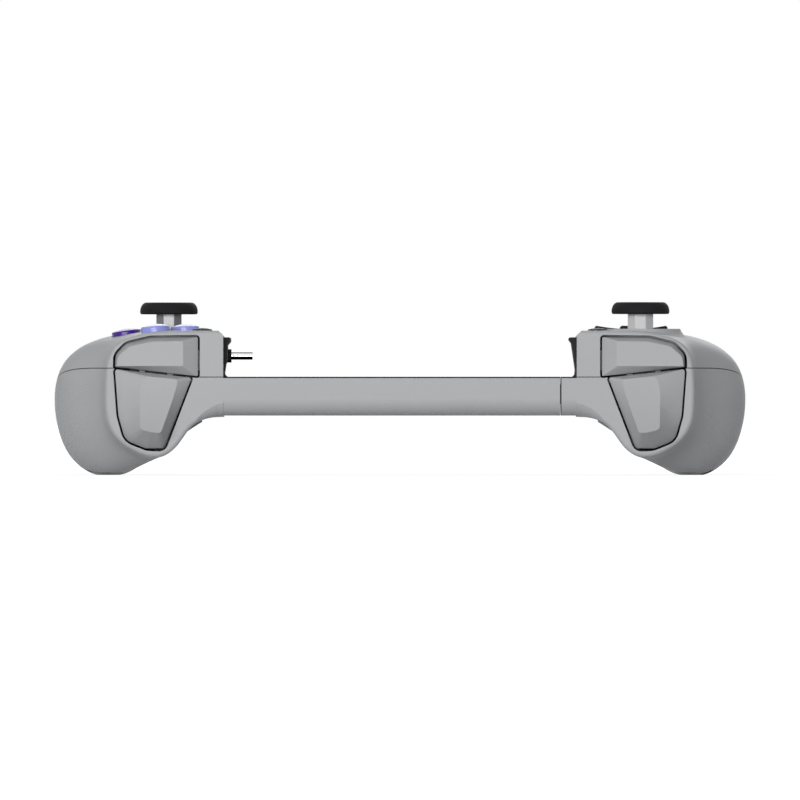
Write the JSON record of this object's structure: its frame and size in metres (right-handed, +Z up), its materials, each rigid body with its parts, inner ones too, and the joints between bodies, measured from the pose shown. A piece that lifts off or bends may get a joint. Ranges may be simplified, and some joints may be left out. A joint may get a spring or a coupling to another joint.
{
  "type": "mobile game controller",
  "caption": "Telescoping handheld game controller: two hand grips with sticks, buttons, pad and triggers on a sliding bridge that clamps a phone and plugs into it.",
  "frame": {"origin": "on the surface that the grips' undersides stand on, below the middle of the closed controller", "axes": "+X from the right-hand module to the left-hand module, along the slide; -Y the side of the shoulder triggers; +Z up, the way the control faces look"},
  "size_m": [0.2178, 0.103, 0.0544],
  "materials": {
    "body_grey": "light grey moulded plastic, fine spark-eroded texture",
    "bridge_grey": "light grey moulded plastic",
    "trim_black": "black soft-touch plastic",
    "cap_rubber": "black rubber, fine knurl round its edge",
    "pad_rubber": "thin black rubber pad",
    "membrane_rubber": "moulded silicone",
    "button_deep_purple": "glossy deep purple",
    "button_lavender": "glossy lavender",
    "button_black": "glossy black",
    "pad_black_gloss": "satin black",
    "stick_post_grey": "satin light grey",
    "white_plastic": "natural moulded plastic",
    "tongue_dark": "dark grey sliding plastic",
    "circuit_board": "green solder mask",
    "ribbon_brown": "amber flexible circuit",
    "steel": "plain steel",
    "spring_steel": "spring wire",
    "plug_chrome": "bright nickel"
  },
  "bodies": {
    "right_module": {"rear_shell_right": "body_grey", "front_shell_right": "body_grey", "bridge_top_plate": "bridge_grey", "phone_pad": "pad_rubber", "dock_bracket_right": "trim_black", "hinge_pins_right": "steel", "board_right": "circuit_board", "stick_housing_right": "steel", "button_membrane_right": "membrane_rubber", "tact_switches_right": "trim_black", "trigger_bracket_right": "steel", "trigger_spring_right": "spring_steel", "bumper_switch_right": "trim_black", "rear_screws_right": "steel", "charge_port": "steel", "guide_rods": "steel", "return_springs": "spring_steel"},
    "left_module": {"rear_shell_left": "body_grey", "front_shell_left": "body_grey", "slide_tongue": "tongue_dark", "dock_bracket_left": "trim_black", "hinge_pins_left": "steel", "board_left": "circuit_board", "stick_housing_left": "steel", "button_membrane_left": "membrane_rubber", "tact_switches_left": "trim_black", "trigger_bracket_left": "steel", "trigger_spring_left": "spring_steel", "bumper_switch_left": "trim_black", "rear_screws_left": "steel", "audio_jack": "trim_black", "flex_ribbon": "ribbon_brown", "direction_pad_post": "trim_black"},
    "plug": {"phone_plug": "plug_chrome", "plug_overmold": "trim_black"},
    "gimbal_right": {"stick_gimbal_right": "white_plastic"},
    "rocker_right": {"stick_rocker_right": "white_plastic"},
    "stick_right": {"stick_shaft_right": "stick_post_grey", "stick_cap_right": "cap_rubber"},
    "bumper_right_body": {"bumper_right": "body_grey"},
    "trigger_right_body": {"trigger_right": "body_grey"},
    "back_button_right_body": {"back_button_right": "body_grey"},
    "gimbal_left": {"stick_gimbal_left": "white_plastic"},
    "rocker_left": {"stick_rocker_left": "white_plastic"},
    "stick_left": {"stick_shaft_left": "stick_post_grey", "stick_cap_left": "cap_rubber"},
    "bumper_left_body": {"bumper_left": "body_grey"},
    "trigger_left_body": {"trigger_left": "body_grey"},
    "back_button_left_body": {"back_button_left": "body_grey"},
    "face_button_outer_body": {"face_button_outer": "button_deep_purple"},
    "face_button_front_body": {"face_button_front": "button_lavender"},
    "face_button_back_body": {"face_button_back": "button_deep_purple"},
    "face_button_inner_body": {"face_button_inner": "button_lavender"},
    "menu_button_body": {"menu_button": "button_black"},
    "home_button_body": {"home_button": "button_black"},
    "view_button_body": {"view_button": "button_black"},
    "capture_button_body": {"capture_button": "button_black"},
    "dpad_spider": {"direction_pad_spider": "steel"},
    "dpad": {"direction_pad": "pad_black_gloss"}
  },
  "joints": [
    {"name": "module_slide", "type": "slide", "parent": "right_module", "child": "left_module", "axis": [1, 0, 0], "range_m": [0, 0.075], "stiffness_N_per_m": 50, "springref_m": -0.06, "deforming": ["return_springs", "flex_ribbon"]},
    {"name": "plug_tilt", "type": "hinge", "parent": "right_module", "child": "plug", "pos_m": [-0.05575, -0.012, 0.0375], "axis": [0, -1, 0], "range_deg": [0, 15], "stiffness_Nm_per_rad": 0.02},
    {"name": "stick_right_fore_aft", "type": "hinge", "parent": "right_module", "child": "gimbal_right", "pos_m": [-0.073, 0.013, 0.035], "axis": [1, 0, 0], "range_deg": [-15, 15], "stiffness_Nm_per_rad": 0.02},
    {"name": "stick_right_sideways", "type": "hinge", "parent": "gimbal_right", "child": "rocker_right", "pos_m": [-0.073, 0.013, 0.035], "axis": [0, 1, 0], "range_deg": [-15, 15], "stiffness_Nm_per_rad": 0.02},
    {"name": "stick_right_click", "type": "slide", "parent": "rocker_right", "child": "stick_right", "axis": [0, 0, -1], "range_m": [0, 0.0005], "stiffness_N_per_m": 2000, "springref_m": -0.0005},
    {"name": "bumper_right_press", "type": "hinge", "parent": "right_module", "child": "bumper_right_body", "pos_m": [-0.0615, -0.0388, 0.0361], "axis": [0, 0, -1], "range_deg": [0, 3.5], "stiffness_Nm_per_rad": 0.5, "springref_deg": -3.44},
    {"name": "trigger_right_pull", "type": "hinge", "parent": "right_module", "child": "trigger_right_body", "pos_m": [-0.0766, -0.0385, 0.037], "axis": [1, 0, 0], "range_deg": [0, 14], "stiffness_Nm_per_rad": 0.15, "springref_deg": -11.46},
    {"name": "back_button_right_press", "type": "slide", "parent": "right_module", "child": "back_button_right_body", "axis": [-0.5446, 0, 0.8387], "range_m": [0, 0.0008], "stiffness_N_per_m": 800, "springref_m": -0.0008},
    {"name": "stick_left_fore_aft", "type": "hinge", "parent": "left_module", "child": "gimbal_left", "pos_m": [0.0757, -0.02, 0.035], "axis": [1, 0, 0], "range_deg": [-15, 15], "stiffness_Nm_per_rad": 0.02},
    {"name": "stick_left_sideways", "type": "hinge", "parent": "gimbal_left", "child": "rocker_left", "pos_m": [0.0757, -0.02, 0.035], "axis": [0, 1, 0], "range_deg": [-15, 15], "stiffness_Nm_per_rad": 0.02},
    {"name": "stick_left_click", "type": "slide", "parent": "rocker_left", "child": "stick_left", "axis": [0, 0, -1], "range_m": [0, 0.0005], "stiffness_N_per_m": 2000, "springref_m": -0.0005},
    {"name": "bumper_left_press", "type": "hinge", "parent": "left_module", "child": "bumper_left_body", "pos_m": [0.0615, -0.0388, 0.0361], "axis": [0, 0, 1], "range_deg": [0, 3.5], "stiffness_Nm_per_rad": 0.5, "springref_deg": -3.44},
    {"name": "trigger_left_pull", "type": "hinge", "parent": "left_module", "child": "trigger_left_body", "pos_m": [0.0766, -0.0385, 0.037], "axis": [1, 0, 0], "range_deg": [0, 14], "stiffness_Nm_per_rad": 0.15, "springref_deg": -11.46},
    {"name": "back_button_left_press", "type": "slide", "parent": "left_module", "child": "back_button_left_body", "axis": [0.5446, 0, 0.8387], "range_m": [0, 0.0008], "stiffness_N_per_m": 800, "springref_m": -0.0008},
    {"name": "face_button_outer_press", "type": "slide", "parent": "right_module", "child": "face_button_outer_body", "axis": [0.1392, 0, -0.9903], "range_m": [0, 0.0012], "stiffness_N_per_m": 400, "springref_m": -0.001},
    {"name": "face_button_front_press", "type": "slide", "parent": "right_module", "child": "face_button_front_body", "axis": [0.0785, 0, -0.9969], "range_m": [0, 0.0012], "stiffness_N_per_m": 400, "springref_m": -0.001},
    {"name": "face_button_back_press", "type": "slide", "parent": "right_module", "child": "face_button_back_body", "axis": [0.0785, 0, -0.9969], "range_m": [0, 0.0012], "stiffness_N_per_m": 400, "springref_m": -0.001},
    {"name": "face_button_inner_press", "type": "slide", "parent": "right_module", "child": "face_button_inner_body", "axis": [0.0349, 0, -0.9994], "range_m": [0, 0.0012], "stiffness_N_per_m": 400, "springref_m": -0.001},
    {"name": "menu_button_press", "type": "slide", "parent": "right_module", "child": "menu_button_body", "axis": [0, 0, -1], "range_m": [0, 0.0005], "stiffness_N_per_m": 800, "springref_m": -0.0005},
    {"name": "home_button_press", "type": "slide", "parent": "right_module", "child": "home_button_body", "axis": [0, 0, -1], "range_m": [0, 0.0005], "stiffness_N_per_m": 800, "springref_m": -0.0005},
    {"name": "view_button_press", "type": "slide", "parent": "left_module", "child": "view_button_body", "axis": [0, 0, -1], "range_m": [0, 0.0005], "stiffness_N_per_m": 800, "springref_m": -0.0005},
    {"name": "capture_button_press", "type": "slide", "parent": "left_module", "child": "capture_button_body", "axis": [0, 0, -1], "range_m": [0, 0.0005], "stiffness_N_per_m": 800, "springref_m": -0.0005},
    {"name": "direction_pad_fore_aft", "type": "hinge", "parent": "left_module", "child": "dpad_spider", "pos_m": [0.073, 0.013, 0.0432], "axis": [1, 0, 0], "range_deg": [-3.5, 3.5], "stiffness_Nm_per_rad": 0.05},
    {"name": "direction_pad_sideways", "type": "hinge", "parent": "dpad_spider", "child": "dpad", "pos_m": [0.073, 0.013, 0.0432], "axis": [0, 1, 0], "range_deg": [-3.5, 3.5], "stiffness_Nm_per_rad": 0.05}
  ]
}
